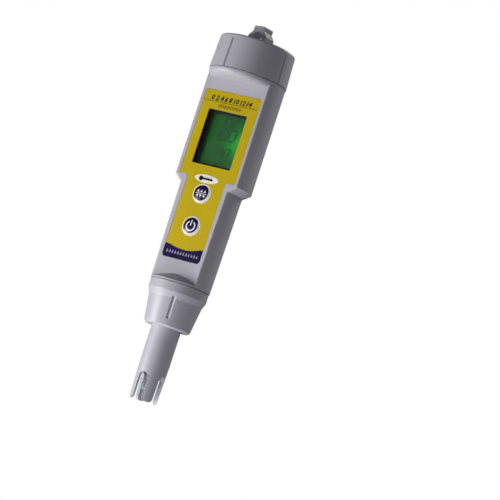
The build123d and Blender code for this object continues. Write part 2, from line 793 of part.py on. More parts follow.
with BuildPart() as electrode_socket:
    with BuildSketch(Plane.XY.offset(socket_bottom_z)):
        Circle(nose_bore_r - socket_clearance)
    extrude(amount=socket_height)
    with BuildSketch(Plane.XY.offset(socket_bottom_z)):
        with PolarLocations(pin_ring, pin_count):
            Circle(pin_r + pin_clearance)
    extrude(amount=pin_top_z - socket_bottom_z + seal_gap, mode=Mode.SUBTRACT)
save(electrode_socket.part, "electrode_socket")

# Leads from the socket to the back of the board
lead_top_z = board_bottom_z + contact_lap
with BuildPart() as socket_leads:
    with Locations((0, leg_y, (socket_top_z + lead_top_z) / 2)):
        with GridLocations(lead_pitch, 1, pin_count, 1):
            Box(lead_width, contact_thickness, lead_top_z - socket_top_z)
save(socket_leads.part, "socket_leads")

# Collar: banded top, a tapered seat with grip grooves, and a lip that carries the flange
collar_top_z = body_end_z - joint_gap
band_end_z = collar_top_z - collar_band
seat_top_z = band_end_z - collar_shoulder
lip_bore_r = seat_r + collar_neck_gap
seat_taper = collar_draft / (seat_top_z - collar_end_z - collar_chamfer)
groove_top_z = collar_top_z - collar_groove_top
groove_top_r = collar_seat_r + seat_taper * (groove_top_z - seat_top_z)
with BuildPart() as collar_groove:
    with BuildSketch(Plane.XY.offset(groove_top_z)):
        with BuildLine():
            Polyline((0, collar_groove_depth - groove_top_r),
                     (collar_groove_width, -groove_top_r - collar_groove_depth),
                     (-collar_groove_width, -groove_top_r - collar_groove_depth), close=True)
        make_face()
    extrude(amount=groove_top_z - collar_end_z - collar_groove_end, dir=(0, seat_taper, -1))
with BuildPart() as electrode_collar:
    with BuildSketch(Plane.XZ) as collar_profile:
        with BuildLine():
            Polyline((collar_bore_r, collar_top_z), (collar_band_r, collar_top_z),
                     (collar_band_r, band_end_z), (collar_seat_r, seat_top_z),
                     (collar_end_r, collar_end_z + collar_chamfer),
                     (collar_end_r - collar_chamfer, collar_end_z), (lip_bore_r, collar_end_z),
                     (lip_bore_r, collar_end_z + collar_lip),
                     (collar_bore_r, collar_end_z + collar_lip), close=True)
        make_face()
        shoulder_corners = collar_profile.vertices().filter_by_position(
            Axis.Y, seat_top_z - hair, band_end_z + hair)
        fillet(shoulder_corners, radius=collar_shoulder_round)
    revolve(axis=Axis.Z)
    with PolarLocations(0, grip_count, start_angle=collar_turn):
        add(collar_groove.part, mode=Mode.SUBTRACT)
save(electrode_collar.part, "electrode_collar")

# Potting that closes the bore above the slots and holds the sensing parts
potting_bottom_z = slot_top_z + potting_gap
potting_top_z = potting_bottom_z + potting
with BuildPart() as sensor_potting:
    with BuildSketch(Plane.XY.offset(potting_bottom_z)):
        Circle(bore_r - potting_clearance)
        Circle(stem_r + potting_clearance, mode=Mode.SUBTRACT)
        with Locations(around(probe_ring, probe_bearing)):
            Circle(probe_r + potting_clearance, mode=Mode.SUBTRACT)
        with Locations(around(junction_ring, junction_bearing)):
            Circle(junction_r + potting_clearance, mode=Mode.SUBTRACT)
    extrude(amount=potting)
save(sensor_potting.part, "sensor_potting")

# Sensing glass: a thin bulb blown on the end of a tube
bulb_z = tip_z + bulb_above_tip + bulb_r
stem_top_z = plug_bottom_z - stem_gap
stem_bore_r = stem_r - bulb_wall
inner_r = bulb_r - bulb_wall
opening = degrees(acos(stem_r / bulb_r))
inner_opening = degrees(acos(stem_bore_r / inner_r))
with BuildPart() as glass_bulb:
    with BuildSketch(Plane.XZ) as bulb_profile:
        with BuildLine():
            outside = CenterArc((0, bulb_z), bulb_r, -90, 90 + opening)
            inside = CenterArc((0, bulb_z), inner_r, -90, 90 + inner_opening)
            Polyline(outside @ 1, (stem_r, stem_top_z), (stem_bore_r, stem_top_z), inside @ 1)
            Line(outside @ 0, inside @ 0)
        make_face()
        fillet(bulb_profile.vertices().sort_by_distance(outside @ 1)[0], radius=bulb_neck_round)
    revolve(axis=Axis.Z)
save(glass_bulb.part, "glass_bulb")

# Silver wire inside the glass and the reference wire beside it
wire_rows = {"silver_wire": ((0, 0), bulb_z), "reference_wire": (around(wire_ring, wire_bearing),
                                                               potting_top_z + potting_gap)}
for name, (place, wire_bottom_z) in wire_rows.items():
    with BuildPart() as wire:
        with BuildSketch(Plane.XY.offset(wire_bottom_z)):
            with Locations(place):
                Circle(wire_r)
        extrude(amount=plug_bottom_z - wire_bottom_z)
    save(wire.part, name)

# Porous junction that lets the reference side touch the sample
with BuildPart() as reference_junction:
    with BuildSketch(Plane.XY.offset(potting_bottom_z - junction_proud)):
        with Locations(around(junction_ring, junction_bearing)):
            Circle(junction_r)
    extrude(amount=potting + junction_proud)
save(reference_junction.part, "reference_junction")

# Temperature probe in a round-ended steel tube
with BuildPart() as temperature_probe:
    with BuildSketch(Plane.XY.offset(tip_z + probe_above_tip)):
        with Locations(around(probe_ring, probe_bearing)):
            Circle(probe_r)
    extrude(amount=probe_length)
    fillet(temperature_probe.faces().sort_by(Axis.Z)[0].edges(), radius=probe_tip_round)
save(temperature_probe.part, "temperature_probe")
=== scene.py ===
import math

import bmesh
import bpy
from mathutils import Matrix, Vector


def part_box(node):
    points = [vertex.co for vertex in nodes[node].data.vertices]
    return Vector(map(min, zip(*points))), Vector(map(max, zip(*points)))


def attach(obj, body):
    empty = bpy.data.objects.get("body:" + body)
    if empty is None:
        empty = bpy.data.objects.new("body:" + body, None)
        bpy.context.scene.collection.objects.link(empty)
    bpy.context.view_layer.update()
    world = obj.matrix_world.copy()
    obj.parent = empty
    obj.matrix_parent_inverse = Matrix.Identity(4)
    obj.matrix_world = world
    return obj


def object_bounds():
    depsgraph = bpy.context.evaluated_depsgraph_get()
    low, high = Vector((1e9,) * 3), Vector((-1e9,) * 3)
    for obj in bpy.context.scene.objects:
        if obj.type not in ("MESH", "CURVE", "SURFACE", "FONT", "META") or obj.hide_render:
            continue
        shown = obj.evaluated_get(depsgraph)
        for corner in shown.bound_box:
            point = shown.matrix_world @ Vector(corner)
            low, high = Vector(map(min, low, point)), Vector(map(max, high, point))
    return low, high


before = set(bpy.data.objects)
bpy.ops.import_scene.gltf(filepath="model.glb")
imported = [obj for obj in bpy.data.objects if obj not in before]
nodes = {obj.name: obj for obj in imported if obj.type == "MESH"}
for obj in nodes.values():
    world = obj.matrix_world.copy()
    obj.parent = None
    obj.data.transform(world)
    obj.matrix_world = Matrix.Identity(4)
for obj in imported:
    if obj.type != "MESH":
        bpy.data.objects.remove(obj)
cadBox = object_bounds()
mm = 0.001
print("frame loaded with", len(nodes), "CAD nodes")

# Places read from the frame
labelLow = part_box("label_overlay")[0]
panelLow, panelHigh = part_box("lcd_panel")
modeLow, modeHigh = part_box("mode_button")
powerLow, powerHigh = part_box("power_button")
ledLow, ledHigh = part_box("backlight_led")
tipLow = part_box("electrode_body")[0]
modeZ = (modeLow.z + modeHigh.z) / 2
powerZ = (powerLow.z + powerHigh.z) / 2
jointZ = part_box("main_housing")[1].z


# Node helpers

def feed(tree, socket, value):
    # An output of another node is linked, any other value is set
    if hasattr(value, "is_output"):
        tree.links.new(value, socket)
    else:
        socket.default_value = value


def addNode(tree, kind, inputs=None, **settings):
    node = tree.nodes.new(kind)
    for name, value in settings.items():
        setattr(node, name, value)
    for key, value in (inputs or {}).items():
        feed(tree, node.inputs[key], value)
    return node


def startMaterial(name, inputs):
    material = bpy.data.materials.new(name)
    material.use_nodes = True
    tree = material.node_tree
    shader = tree.nodes["Principled BSDF"]
    for key, value in inputs.items():
        shader.inputs[key].default_value = value
    return material, tree, shader


def startGroup(name, inputs, outputs):
    group = bpy.data.node_groups.new(name, "ShaderNodeTree")
    for socket, kind, value in inputs:
        item = group.interface.new_socket(socket, in_out="INPUT", socket_type=kind)
        item.default_value = value
    for socket, kind in outputs:
        group.interface.new_socket(socket, in_out="OUTPUT", socket_type=kind)
    return group, group.nodes.new("NodeGroupInput"), group.nodes.new("NodeGroupOutput")


def useGroup(tree, group, inputs=None):
    return addNode(tree, "ShaderNodeGroup", inputs, node_tree=group)


def mixColors(tree, factor, first, second):
    inputs = {0: factor, 6: first, 7: second}
    return addNode(tree, "ShaderNodeMix", inputs, data_type="RGBA").outputs[2]


def mathNode(tree, operation, *values, clamp=False):
    inputs = dict(enumerate(values))
    return addNode(tree, "ShaderNodeMath", inputs, operation=operation, use_clamp=clamp).outputs[0]


def scaled(tree, vector, factor):
    inputs = {0: vector, "Scale": factor}
    return addNode(tree, "ShaderNodeVectorMath", inputs, operation="SCALE").outputs[0]


def mapRange(tree, value, low, high, newLow=0.0, newHigh=1.0):
    inputs = {"Value": value, "From Min": low, "From Max": high, "To Min": newLow, "To Max": newHigh}
    return addNode(tree, "ShaderNodeMapRange", inputs).outputs["Result"]


def objectPlace(tree):
    return addNode(tree, "ShaderNodeTexCoord").outputs["Object"]


def objectNoise(tree, scale, detail=2.0, stretch=(1, 1, 1)):
    mapping = addNode(tree, "ShaderNodeMapping", {"Vector": objectPlace(tree), "Scale": stretch})
    inputs = {"Vector": mapping.outputs["Vector"], "Scale": scale, "Detail": detail}
    return addNode(tree, "ShaderNodeTexNoise", inputs).outputs["Fac"]


def dress(tree, shader, effect):
    # The outputs of a shared effect go to the shader
    for output, socket in (("Color", "Base Color"), ("Roughness", "Roughness"), ("Normal", "Normal")):
        tree.links.new(effect.outputs[output], shader.inputs[socket])


# Shared effects as node groups

noiseSpread = (0.3, 0.7)
surfaceOutputs = [("Color", "NodeSocketColor"), ("Roughness", "NodeSocketFloat"),
                  ("Normal", "NodeSocketVector")]
edgeLook = {"radius": 0.4 * mm, "patchiness": 90.0, "detail": 4.0, "samples": 6,
            "turned": (0.02, 0.22), "patches": (0.35, 0.7)}
# The hollow values and the crevice tone darken crevices and recesses by ambient occlusion: painted shade
mouldLook = {"grain": 2600.0, "detail": 3.0, "speckSpread": (0.25, 0.75), "speckTone": (0.985, 1.015),
             "cloud": 45.0, "cloudTone": (0.965, 1.025), "rubbedTone": 1.22, "creviceShadeTone": 0.55,
             "hollow": 1.6 * mm, "hollowSamples": 6, "hollowSpread": (0.75, 0.2),
             "haze": 130.0, "hazeDetail": 4.0, "hazeChange": (-0.05, 0.05), "polish": -0.08,
             "bump": 0.04 * mm}
filmLook = {"cloud": 70.0, "cloudDetail": 4.0, "cloudChange": (-1.0, 1.0),
            "dots": 5200.0, "dotDetail": 1.0, "dotChange": (-0.35, 0.35),
            "rubs": 160.0, "rubDetail": 5.0, "rubStretch": (1, 1, 0.25), "rubSpread": (0.45, 0.75),
            "rubHaze": (0.0, 0.06), "peel": 420.0, "peelStrength": 0.25, "peelDepth": 0.03 * mm}


def buildEdgeGroup():
    look = edgeLook
    group, given, result = startGroup(
        "rubbedEdge",
        [("Radius", "NodeSocketFloat", look["radius"]),
         ("Patchiness", "NodeSocketFloat", look["patchiness"])],
        [("Edge", "NodeSocketFloat")])
    bevel = addNode(group, "ShaderNodeBevel", {"Radius": given.outputs["Radius"]}, samples=look["samples"])
    plain = addNode(group, "ShaderNodeNewGeometry")
    dot = addNode(group, "ShaderNodeVectorMath", {0: bevel.outputs["Normal"], 1: plain.outputs["Normal"]},
                  operation="DOT_PRODUCT")
    turned = mathNode(group, "SUBTRACT", 1.0, dot.outputs["Value"])
    sharp = mapRange(group, turned, *look["turned"])
    patches = mapRange(group, objectNoise(group, given.outputs["Patchiness"], look["detail"]),
                       *look["patches"])
    group.links.new(mathNode(group, "MULTIPLY", sharp, patches, clamp=True), result.inputs["Edge"])
    return group


def buildMouldGroup():
    look = mouldLook
    group, given, result = startGroup(
        "mouldedPlastic",
        [("Color", "NodeSocketColor", (0.5, 0.5, 0.5, 1)), ("Roughness", "NodeSocketFloat", 0.4),
         ("Grain", "NodeSocketFloat", look["grain"]), ("Grain Depth", "NodeSocketFloat", 0.12),
         ("Wear", "NodeSocketFloat", 0.3), ("Crevice Shade", "NodeSocketFloat", 0.3)],
        surfaceOutputs)
    cloud = objectNoise(group, look["cloud"], look["detail"])
    fine = objectNoise(group, given.outputs["Grain"], look["detail"])
    edge = useGroup(group, edgeGroup).outputs["Edge"]
    # Ambient occlusion darkens the colour in crevices and recesses: painted shade, not dirt
    hollow = addNode(group, "ShaderNodeAmbientOcclusion", {"Distance": look["hollow"]},
                     samples=look["hollowSamples"])
    shade = mapRange(group, cloud, *noiseSpread, *look["cloudTone"])
    speck = mapRange(group, fine, *look["speckSpread"], *look["speckTone"])
    toned = scaled(group, given.outputs["Color"], mathNode(group, "MULTIPLY", shade, speck))
    worn = mixColors(group, mathNode(group, "MULTIPLY", edge, given.outputs["Wear"]),
                     toned, scaled(group, toned, look["rubbedTone"]))
    occludedMask = mapRange(group, hollow.outputs["AO"], *look["hollowSpread"])
    creviceShade = mathNode(group, "MULTIPLY", occludedMask, given.outputs["Crevice Shade"])
    group.links.new(mixColors(group, creviceShade, worn, scaled(group, worn, look["creviceShadeTone"])),
                    result.inputs["Color"])
    haze = mapRange(group, objectNoise(group, look["haze"], look["hazeDetail"]),
                    *noiseSpread, *look["hazeChange"])
    polish = mathNode(group, "MULTIPLY", edge, look["polish"])
    uneven = mathNode(group, "ADD", given.outputs["Roughness"], mathNode(group, "ADD", haze, polish))
    group.links.new(uneven, result.inputs["Roughness"])
    bump = addNode(group, "ShaderNodeBump", {"Distance": look["bump"], "Height": fine,
                                             "Strength": given.outputs["Grain Depth"]})
    group.links.new(bump.outputs["Normal"], result.inputs["Normal"])
    return group


def buildFilmGroup():
    look = filmLook
    group, given, result = startGroup(
        "printedFilm",
        [("Color", "NodeSocketColor", (0.5, 0.5, 0.5, 1)), ("Roughness", "NodeSocketFloat", 0.24),
         ("Ink Change", "NodeSocketFloat", 0.06)],
        surfaceOutputs)
    cloud = mapRange(group, objectNoise(group, look["cloud"], look["cloudDetail"]),
                     *noiseSpread, *look["cloudChange"])
    dots = mapRange(group, objectNoise(group, look["dots"], look["dotDetail"]),
                    *noiseSpread, *look["dotChange"])
    change = mathNode(group, "MULTIPLY", mathNode(group, "ADD", cloud, dots), given.outputs["Ink Change"])
    toned = scaled(group, given.outputs["Color"], mathNode(group, "ADD", change, 1.0))
    group.links.new(toned, result.inputs["Color"])
    rubs = mapRange(group, objectNoise(group, look["rubs"], look["rubDetail"], look["rubStretch"]),
                    *look["rubSpread"], *look["rubHaze"])
    group.links.new(mathNode(group, "ADD", given.outputs["Roughness"], rubs), result.inputs["Roughness"])
    peel = addNode(group, "ShaderNodeBump", {"Strength": look["peelStrength"],
                                             "Distance": look["peelDepth"],
                                             "Height": objectNoise(group, look["peel"])})
    group.links.new(peel.outputs["Normal"], result.inputs["Normal"])
    return group


edgeGroup = buildEdgeGroup()
mouldGroup = buildMouldGroup()
filmGroup = buildFilmGroup()
print("shared effects built")


# Materials

def mouldedMaterial(name, color, roughness, wear=0.0, depth=0.12):
    material, tree, shader = startMaterial(name, {"Specular IOR Level": 0.45})
    dress(tree, shader, useGroup(tree, mouldGroup, {"Color": (*color, 1), "Roughness": roughness,
                                                    "Wear": wear, "Grain Depth": depth}))
    return material


def filmMaterial(name, color, roughness, change):
    material, tree, shader = startMaterial(name, {"Specular IOR Level": 0.4})
    dress(tree, shader, useGroup(tree, filmGroup, {"Color": (*color, 1), "Roughness": roughness,
                                                   "Ink Change": change}))
    return material


metalLook = {"lines": 900.0, "detail": 3.0, "brush": (1, 1, 12), "tone": (0.9, 1.05),
             "smoothest": 0.7, "roughest": 1.4}


def metalMaterial(name, color, roughness):
    look = metalLook
    material, tree, shader = startMaterial(name, {"Metallic": 1.0})
    lines = objectNoise(tree, look["lines"], look["detail"], look["brush"])
    tint = scaled(tree, color, mapRange(tree, lines, *noiseSpread, *look["tone"]))
    tree.links.new(tint, shader.inputs["Base Color"])
    tree.links.new(mapRange(tree, lines, *noiseSpread, roughness * look["smoothest"],
                            roughness * look["roughest"]), shader.inputs["Roughness"])
    return material


clearLook = {"smears": 120.0, "detail": 4.0, "stretch": (1, 1, 0.4), "spread": (0.4, 0.75), "haze": 0.03}


def clearMaterial(name, color, roughness, ior):
    # Clear to light as well as to the eye: a shadow ray passes straight through
    look = clearLook
    material, tree, shader = startMaterial(name, {"Base Color": (*color, 1), "IOR": ior,
                                                  "Transmission Weight": 1.0})
    smears = mapRange(tree, objectNoise(tree, look["smears"], look["detail"], look["stretch"]),
                      *look["spread"], roughness, roughness + look["haze"])
    tree.links.new(smears, shader.inputs["Roughness"])
    path = addNode(tree, "ShaderNodeLightPath")
    through = addNode(tree, "ShaderNodeBsdfTransparent", {"Color": (*color, 1)})
    mix = addNode(tree, "ShaderNodeMixShader", {0: path.outputs["Is Shadow Ray"], 1: shader.outputs[0],
                                                2: through.outputs[0]})
    tree.links.new(mix.outputs[0], tree.nodes["Material Output"].inputs["Surface"])
    return material


# The shift moves the navy ink off the dome's middle; the rim colour shows only as a crescent at the lower
# right, a painted highlight
buttonFace = {"inkRadius": 3.95 * mm, "shiftX": -0.34 * mm, "shiftZ": 0.42 * mm, "blend": 0.05 * mm,
              "ink": (0.007, 0.002, 0.055), "inkChange": 0.12,
              "rim": (0.86, 0.83, 0.82), "rimChange": 0.02, "roughness": 0.26}


def buttonMaterial(name, centreZ):
    # A navy disc on the dome, set off its middle towards the upper left, so that the white left showing at
    # the lower right is a crescent of painted highlight
    look = buttonFace
    material, tree, shader = startMaterial(name, {"Specular IOR Level": 0.4, "Coat Weight": 0.2,
                                                  "Coat Roughness": 0.12})
    flatten = {0: objectPlace(tree), 1: (1, 0, 1), 2: (-look["shiftX"], 0, -centreZ - look["shiftZ"])}
    away = addNode(tree, "ShaderNodeVectorMath", flatten, operation="MULTIPLY_ADD")
    length = addNode(tree, "ShaderNodeVectorMath", {0: away.outputs[0]}, operation="LENGTH")
    highlightCrescent = mapRange(tree, length.outputs["Value"], look["inkRadius"],
                       look["inkRadius"] + look["blend"])
    # rim is the white of the painted highlight crescent, ink the navy disc
    ink, rim = [useGroup(tree, filmGroup, {"Color": (*look[layer], 1), "Roughness": look["roughness"],
                                           "Ink Change": look[layer + "Change"]})
                for layer in ("ink", "rim")]
    dress(tree, shader, ink)
    tree.links.new(mixColors(tree, highlightCrescent, ink.outputs["Color"], rim.outputs["Color"]),
                   shader.inputs["Base Color"])
    return material


panelLight = {"base": (0.0, 0.03, 0.002), "roughness": 0.35, "power": 1.0,
              "dim": (0.0, 0.050, 0.002), "bright": (0.0, 0.33, 0.018), "edge": (0.0, 0.004, 0.0),
              "reach": 11.0 * mm, "core": 1.5 * mm, "falloff": 1.6,
              "cloud": 240.0, "cloudDetail": 3.0, "cloudChange": (-0.03, 0.05),
              "border": 2.5 * mm, "soft": 0.5 * mm}


def panelMaterial():
    # Lit from the lamp at one side, with a dark border
    look = panelLight
    material, tree, shader = startMaterial("displayPanel", {"Base Color": (*look["base"], 1),
                                                            "Roughness": look["roughness"],
                                                            "Emission Strength": look["power"]})
    place = objectPlace(tree)
    lampPlace = (ledLow.x, panelLow.y, (ledLow.z + ledHigh.z) / 2)
    lamp = addNode(tree, "ShaderNodeVectorMath", {0: place, 1: lampPlace}, operation="DISTANCE")
    near = mapRange(tree, lamp.outputs["Value"], look["reach"], look["core"])
    glow = mathNode(tree, "POWER", near, look["falloff"])
    uneven = mapRange(tree, objectNoise(tree, look["cloud"], look["cloudDetail"]),
                      *noiseSpread, *look["cloudChange"])
    lit = mixColors(tree, mathNode(tree, "ADD", glow, uneven, clamp=True),
                    (*look["dim"], 1), (*look["bright"], 1))
    middle = (panelLow + panelHigh) / 2
    half = (panelHigh - panelLow) / 2
    offset = addNode(tree, "ShaderNodeVectorMath", {0: place, 1: middle}, operation="SUBTRACT")
    split = addNode(tree, "ShaderNodeSeparateXYZ", {0: offset.outputs[0]})
    masks = [mapRange(tree, mathNode(tree, "ABSOLUTE", split.outputs[axis]),
                      reach - look["border"], reach - look["border"] - look["soft"])
             for axis, reach in (("X", half.x), ("Z", half.z))]
    tree.links.new(mixColors(tree, mathNode(tree, "MULTIPLY", *masks), (*look["edge"], 1), lit),
                   shader.inputs["Emission Color"])
    return material


boardLook = {"weave": 900.0, "distortion": 1.5, "dark": (0.008, 0.11, 0.035), "light": (0.012, 0.15, 0.05),
             "roughness": (0.3, 0.42)}


def boardMaterial():
    look = boardLook
    material, tree, shader = startMaterial("boardLaminate", {"Specular IOR Level": 0.5})
    weave = addNode(tree, "ShaderNodeTexWave", {"Vector": objectPlace(tree), "Scale": look["weave"],
                                                "Distortion": look["distortion"]}).outputs["Fac"]
    tree.links.new(mixColors(tree, weave, (*look["dark"], 1), (*look["light"], 1)),
                   shader.inputs["Base Color"])
    tree.links.new(mapRange(tree, weave, 0, 1, *look["roughness"]), shader.inputs["Roughness"])
    return material


finishes = {
    "main_housing": mouldedMaterial("housingPlastic", (0.455, 0.445, 0.505), 0.42, wear=0.35),
    "battery_cap": mouldedMaterial("capPlastic", (0.45, 0.44, 0.50), 0.42, wear=0.4),
    "label_overlay": filmMaterial("labelYellow", (0.545, 0.405, 0.004), 0.24, 0.05),
    "display_window": clearMaterial("windowClear", (0.93, 0.96, 0.95), 0.02, 1.3),
    "display_bezel": mouldedMaterial("bezelBlack", (0.006, 0.006, 0.008), 0.5, wear=0.1),
    "lcd_panel": panelMaterial(),
    "lcd_backlight": mouldedMaterial("lightGuide", (0.45, 0.7, 0.42), 0.3, wear=0.1),
    "contact_strips": mouldedMaterial("stripRubber", (0.26, 0.07, 0.09), 0.7),
    "circuit_board": boardMaterial(),
    "chips": mouldedMaterial("chipEpoxy", (0.012, 0.012, 0.014), 0.55, wear=0.15),
    "mode_button": buttonMaterial("modeButtonSkin", modeZ),
    "power_button": buttonMaterial("powerButtonSkin", powerZ),
    "seals": mouldedMaterial("sealRubber", (0.02, 0.02, 0.022), 0.65, depth=0.2),
    "battery_holder": mouldedMaterial("holderPlastic", (0.05, 0.05, 0.055), 0.45, wear=0.2),
    "steel": metalMaterial("cellSteel", (0.62, 0.62, 0.63), 0.22),
    "contacts": metalMaterial("contactPlating", (0.72, 0.55, 0.25), 0.3),
    "glass_bulb": clearMaterial("bulbGlass", (0.9, 0.95, 0.95), 0.01, 1.5),
    "silver": metalMaterial("chloridedSilver", (0.32, 0.29, 0.28), 0.5),
    "potting": mouldedMaterial("pottingResin", (0.30, 0.30, 0.29), 0.35),
    "ceramic": mouldedMaterial("junctionCeramic", (0.72, 0.69, 0.62), 0.85, depth=0.5),
}
sharedFinishes = {
    "electrode_collar": "battery_cap", "electrode_body": "battery_cap",
    "backlight_led": "lcd_backlight", "controller_chip": "chips", "amplifier_chip": "chips",
    "mode_switch": "chips", "power_switch": "chips", "electrode_socket": "chips",
    "electrode_plug": "chips", "board_passives": "ceramic", "mode_boot": "seals",
    "power_boot": "seals", "cap_seal": "seals", "electrode_seal": "seals",
    "battery_cells": "steel", "clock_crystal": "steel", "temperature_probe": "steel",
    "cap_contact": "steel", "negative_contact": "contacts", "positive_contact": "contacts",
    "plug_pins": "contacts", "socket_leads": "contacts", "silver_wire": "silver",
    "reference_wire": "silver", "sensor_potting": "potting", "reference_junction": "ceramic",
}
for name, node in nodes.items():
    node.data.materials.clear()
    node.data.materials.append(finishes[sharedFinishes.get(name, name)])
print("materials placed on the CAD nodes")


# Helpers for the printed pieces, which are drawn flat as (x, z) and face the front, -y

def placeObject(name, data):
    made = bpy.data.objects.new(name, data)
    bpy.context.scene.collection.objects.link(made)
    return made


def meshObject(name, shape, material):
    mesh = bpy.data.meshes.new(name)
    shape.to_mesh(mesh)
    shape.free()
    mesh.materials.append(material)
    return placeObject(name, mesh)


def addPiece(name, shape, body, material):
    piece = meshObject(name, shape, material)
    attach(piece, body)


def mergeShape(target, source):
    carrier = bpy.data.meshes.new("carrier")
    source.to_mesh(carrier)
    source.free()
    target.from_mesh(carrier)
    bpy.data.meshes.remove(carrier)


def flatFace(shape, corners):
    shape.faces.new([shape.verts.new((x, 0, z)) for x, z in corners])


def addBar(shape, left, low, right, high):
    flatFace(shape, [(left, low), (right, low), (right, high), (left, high)])


def addDisc(shape, x, z, radiusX, radiusZ, segments=48):
    turn = Matrix.Translation((x, 0, z)) @ Matrix.Diagonal((radiusX, 1, radiusZ, 1)) \
        @ Matrix.Rotation(math.radians(90), 4, "X")
    bmesh.ops.create_circle(shape, cap_ends=True, segments=segments, radius=1.0, matrix=turn)


def addRing(shape, x, z, inner, outer, startAngle=0.0, sweep=360.0, steps=64):
    # A flat ring or part of one, swept about the front-to-back axis
    start = math.radians(startAngle)
    edge = [shape.verts.new((x + r * math.sin(start), 0, z + r * math.cos(start)))
            for r in (inner, outer)]
    line = shape.edges.new(edge)
    bmesh.ops.spin(shape, geom=[*edge, line], cent=(x, 0, z), axis=(0, 1, 0),
                   angle=math.radians(sweep), steps=steps, use_merge=sweep >= 360.0)


def rowPlace(row, index):
    # Where one of an even row stands, from -half to half
    return row["half"] * (2 * index / (row["count"] - 1) - 1)


def turnToFront(shape):
    bmesh.ops.recalc_face_normals(shape, faces=shape.faces)
    for face in shape.faces:
        if face.normal.y > 0:
            face.normal_flip()


def thicken(shape, frontY, thickness):
    # Flat faces become ink of this thickness, its front at frontY
    turnToFront(shape)
    made = bmesh.ops.extrude_face_region(shape, geom=shape.faces[:], use_keep_orig=True)
    front = [item for item in made["geom"] if isinstance(item, bmesh.types.BMVert)]
    bmesh.ops.translate(shape, verts=front, vec=(0, -thickness, 0))
    bmesh.ops.translate(shape, verts=shape.verts, vec=(0, frontY + thickness, 0))
    bmesh.ops.recalc_face_normals(shape, faces=shape.faces)


inks = {
    "black": filmMaterial("inkBlack", (0.008, 0.007, 0.008), 0.26, 0.1),
    "white": filmMaterial("inkWhite", (0.86, 0.83, 0.80), 0.26, 0.03),
    "navy": filmMaterial("inkNavy", (0.007, 0.002, 0.055), 0.24, 0.15),
    "lilac": filmMaterial("inkLilac", (0.34, 0.30, 0.44), 0.26, 0.08),
}
inkThickness = 0.02 * mm


def inkPiece(name, shape, ink, lift=0.0):
    thicken(shape, labelLow.y - (inkThickness + lift), inkThickness)
    addPiece(name, shape, "housing", inks[ink])


# Scale of plain numbers at the top of the label, with a rule and a row of ticks
scaleNumbers = {"numbers": ["0", "2", "4", "6", "8", "10", "12", "14"], "half": 11.2 * mm,
                "height": 2.2 * mm, "digitShare": 0.69, "slant": 0.2, "baseline": jointZ - 14.15 * mm,
                "weight": 0.13 * mm, "curveSteps": 5}
labelRule = {"z": jointZ - 14.85 * mm, "left": -14.9 * mm, "right": 14.4 * mm, "thickness": 0.22 * mm}
tickRow = {"count": 15, "half": 5.9 * mm, "top": jointZ - 15.9 * mm, "long": 1.7 * mm,
           "short": 1.2 * mm, "width": 0.34 * mm, "majorEvery": 2}


def numberShape(text):
    # A digit of the built-in font is digitShare of its size. The bevel makes the strokes
    # bold, and its depth is then flattened to the thickness of the ink.
    made = scaleNumbers
    writing = bpy.data.curves.new("number", "FONT")
    writing.body = text
    writing.size = made["height"] / made["digitShare"]
    writing.align_x = "CENTER"
    writing.bevel_depth = made["weight"]
    writing.bevel_resolution = 1
    writing.resolution_u = made["curveSteps"]
    holder = bpy.data.objects.new("number", writing)
    mesh = bpy.data.meshes.new_from_object(holder)
    shape = bmesh.new()
    shape.from_mesh(mesh)
    bpy.data.objects.remove(holder)
    bpy.data.curves.remove(writing)
    bpy.data.meshes.remove(mesh)
    flat = -inkThickness / made["weight"] / 2
    lean = Matrix(((1, made["slant"], 0, 0), (0, 0, flat, 0), (0, 1, 0, 0), (0, 0, 0, 1)))
    bmesh.ops.transform(shape, matrix=lean, verts=shape.verts)
    bmesh.ops.recalc_face_normals(shape, faces=shape.faces)
    return shape


def addNumbers():
    made = scaleNumbers
    shape = bmesh.new()
    numbers = [numberShape(text) for text in made["numbers"]]
    lefts = [min(vert.co.x for vert in number.verts) for number in numbers]
    widths = [max(vert.co.x for vert in number.verts) - low for number, low in zip(numbers, lefts)]
    gap = (2 * made["half"] - sum(widths)) / (len(numbers) - 1)
    along = -made["half"]
    for number, low, width in zip(numbers, lefts, widths):
        bmesh.ops.translate(number, verts=number.verts, vec=(along - low, 0, made["baseline"]))
        mergeShape(shape, number)
        along += width + gap
    bmesh.ops.translate(shape, verts=shape.verts, vec=(0, labelLow.y - inkThickness / 2, 0))
    addPiece("scaleNumbers", shape, "housing", inks["black"])


def addRules():
    shape = bmesh.new()
    half = labelRule["thickness"] / 2
    addBar(shape, labelRule["left"], labelRule["z"] - half, labelRule["right"], labelRule["z"] + half)
    side = tickRow["width"] / 2
    for index in range(tickRow["count"]):
        x = rowPlace(tickRow, index)
        length = tickRow["long"] if index % tickRow["majorEvery"] == 0 else tickRow["short"]
        addBar(shape, x - side, tickRow["top"] - length, x + side, tickRow["top"])
    inkPiece("scaleRules", shape, "black")


addNumbers()
addRules()
print("scale printed")

# White oval with a small thermometer
badge = {"x": 0.1 * mm, "z": jointZ - 51.95 * mm, "halfX": 6.5 * mm, "halfZ": 1.95 * mm, "segments": 72}
thermometer = {"bulb": 1.15 * mm, "bulbSegments": 32, "neck": 0.9, "tube": 0.46 * mm, "tubeSegments": 24,
               "length": 6.0 * mm, "ticks": 4, "firstTick": 0.36, "tickStep": 0.18,
               "tick": 0.55 * mm, "tickWidth": 0.32 * mm, "tickGap": 0.2 * mm}


